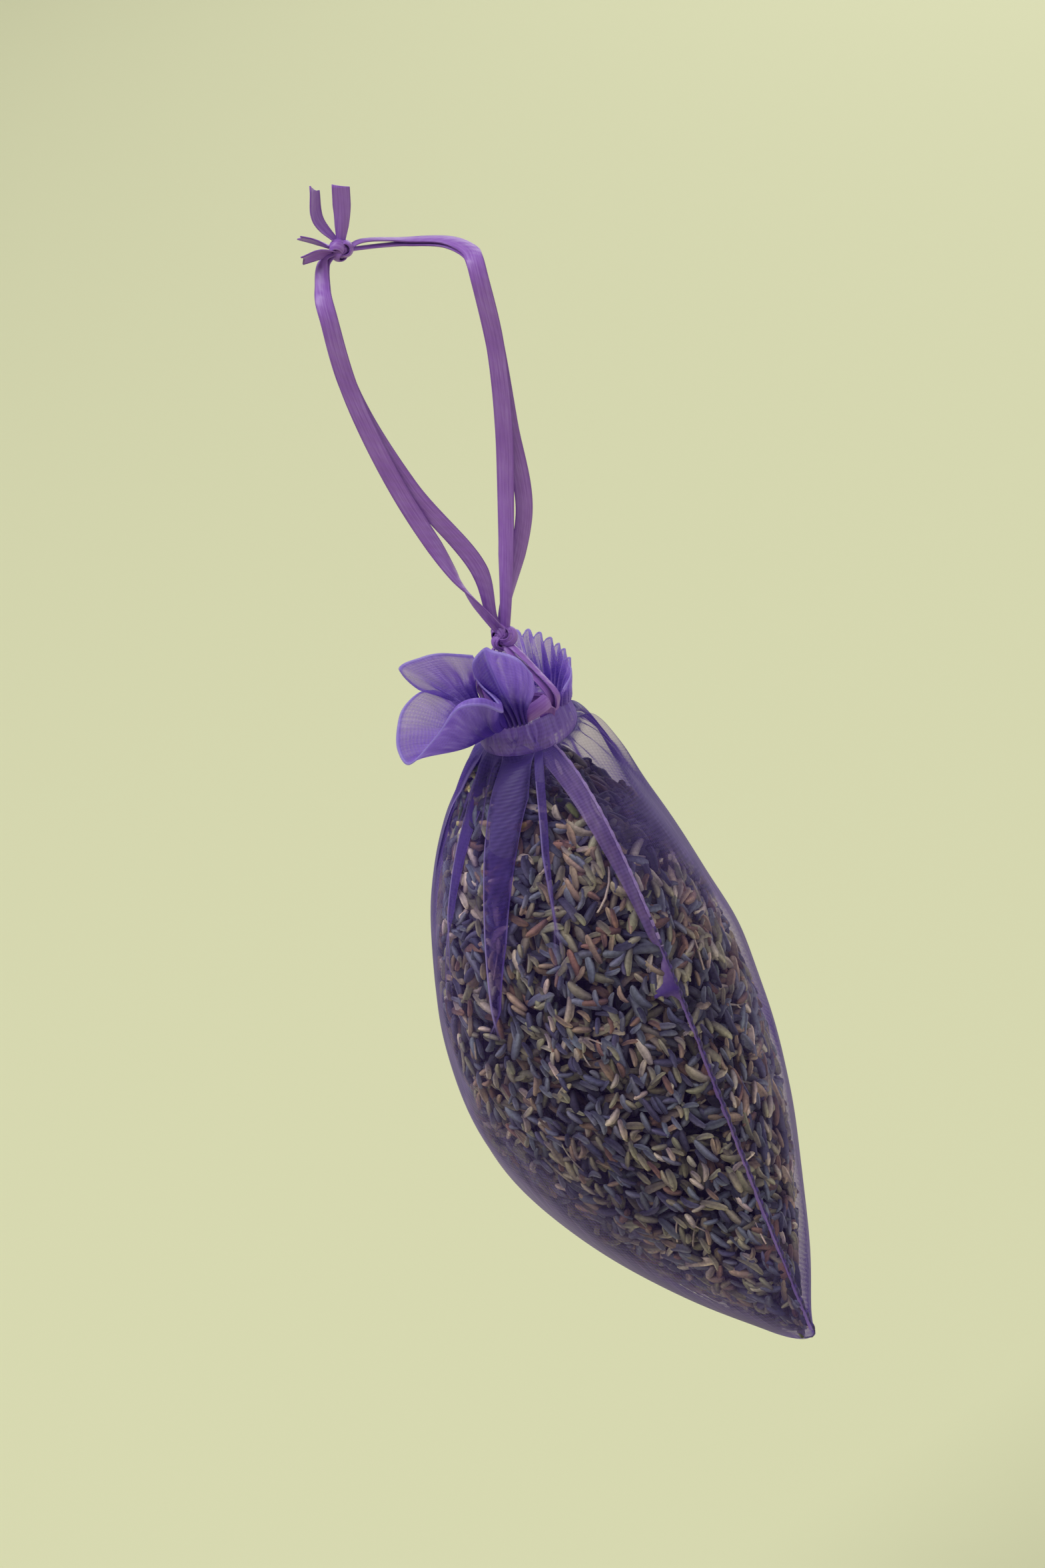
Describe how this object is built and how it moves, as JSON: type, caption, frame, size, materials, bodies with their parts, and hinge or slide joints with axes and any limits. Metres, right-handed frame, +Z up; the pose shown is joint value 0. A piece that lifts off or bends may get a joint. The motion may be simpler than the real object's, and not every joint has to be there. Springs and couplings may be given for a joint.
{
  "type": "lavender sachet",
  "caption": "Gathered sheer drawstring pouch filled with dried lavender buds, with a frilled mouth and a satin ribbon loop to hang it by.",
  "frame": {"origin": "middle of the hanging loop, where the peg goes through, level with the folds where the ribbons leave the peg", "axes": "+Z up along the plumb line, +X from the pouch's left side seam to its right side seam, front panel towards -Y"},
  "size_m": [0.094, 0.0582, 0.2171],
  "materials": {
    "organza": "satin",
    "satin_ribbon": "satin",
    "seam_thread": "matte",
    "lavender": "matte"
  },
  "bodies": {
    "loop_top": {"top_knot": "satin_ribbon", "right_bight_upper": "satin_ribbon", "right_bight_lower": "satin_ribbon", "left_bight_upper": "satin_ribbon", "left_bight_lower": "satin_ribbon", "wide_tail": "satin_ribbon", "narrow_tail": "satin_ribbon", "upper_left_tail": "satin_ribbon", "lower_left_tail": "satin_ribbon"},
    "loop_strands": {"left_strand_front": "satin_ribbon", "left_strand_rear": "satin_ribbon", "right_strand_front": "satin_ribbon", "right_strand_rear": "satin_ribbon"},
    "neck_tie": {"neck_knot": "satin_ribbon"},
    "pouch": {"front_panel": "organza", "back_panel": "organza", "right_side_seam": "seam_thread", "left_side_seam": "seam_thread", "bottom_seam": "seam_thread", "front_casing": "organza", "back_casing": "organza", "front_frill": "organza", "back_frill": "organza", "right_drawstring": "satin_ribbon", "left_drawstring": "satin_ribbon", "right_riser_front": "satin_ribbon", "right_riser_rear": "satin_ribbon", "left_riser_front": "satin_ribbon", "left_riser_rear": "satin_ribbon", "lavender_fill": "lavender", "lavender_bud_1": "lavender", "lavender_bud_2": "lavender", "lavender_bud_3": "lavender", "lavender_bud_4": "lavender", "lavender_bud_5": "lavender", "lavender_bud_6": "lavender", "lavender_bud_7": "lavender", "lavender_bud_8": "lavender", "lavender_bud_9": "lavender", "lavender_bud_10": "lavender", "lavender_bud_11": "lavender", "lavender_bud_12": "lavender"}
  },
  "joints": [
    {"name": "loop_swing", "type": "hinge", "parent": "loop_top", "child": "loop_strands", "pos_m": [0, 0, 0], "axis": [0.454, 0.891, 0], "range_deg": [-60, 20]},
    {"name": "pouch_twist", "type": "hinge", "parent": "loop_strands", "child": "neck_tie", "pos_m": [0, 0, -0.066], "axis": [0, 0, 1], "range_deg": [-90, 90]},
    {"name": "pouch_sway", "type": "hinge", "parent": "neck_tie", "child": "pouch", "pos_m": [0, 0, -0.066], "axis": [-0.891, 0.454, 0], "range_deg": [-30, 30]}
  ]
}
